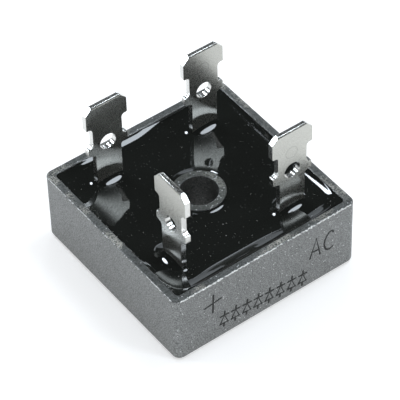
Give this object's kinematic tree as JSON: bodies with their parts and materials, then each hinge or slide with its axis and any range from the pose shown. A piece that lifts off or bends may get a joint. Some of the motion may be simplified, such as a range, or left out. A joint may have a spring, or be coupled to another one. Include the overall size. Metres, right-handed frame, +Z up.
{
  "type": "bridge rectifier",
  "caption": "Square bridge rectifier in a cast metal cup filled with black epoxy, with upright push-on blade terminals and a centre bore for a mounting screw.",
  "frame": {"origin": "centre of the case's flat underside, on the axis of the screw bore", "axes": "+Z up along the bore, towards the blade tips; -Y is the marked side, and the positive blade stands at the -X -Y corner"},
  "size_m": [0.0286, 0.0286, 0.0238],
  "materials": {
    "cast_metal": "satin, blasted",
    "epoxy": "gloss, as cured",
    "plated_metal": "satin tin plate",
    "copper": "bare copper",
    "solder": "dull solder",
    "silicon": "polished",
    "insulator": "matte"
  },
  "bodies": {
    "root": {"case": "cast_metal", "insulator_plate": "insulator", "plate_ac_1": "copper", "plate_ac_2": "copper", "strap_positive": "copper", "strap_negative": "copper", "solder_lower_1": "solder", "diode_chip_1": "silicon", "solder_upper_1": "solder", "solder_lower_2": "solder", "diode_chip_2": "silicon", "solder_upper_2": "solder", "solder_lower_3": "solder", "diode_chip_3": "silicon", "solder_upper_3": "solder", "solder_lower_4": "solder", "diode_chip_4": "silicon", "solder_upper_4": "solder", "solder_foot_ac_1": "solder", "solder_foot_ac_2": "solder", "solder_foot_positive": "solder", "solder_foot_negative": "solder", "terminal_ac_1": "plated_metal", "terminal_ac_2": "plated_metal", "terminal_positive": "plated_metal", "terminal_negative": "plated_metal", "potting": "epoxy"}
  },
  "joints": []
}
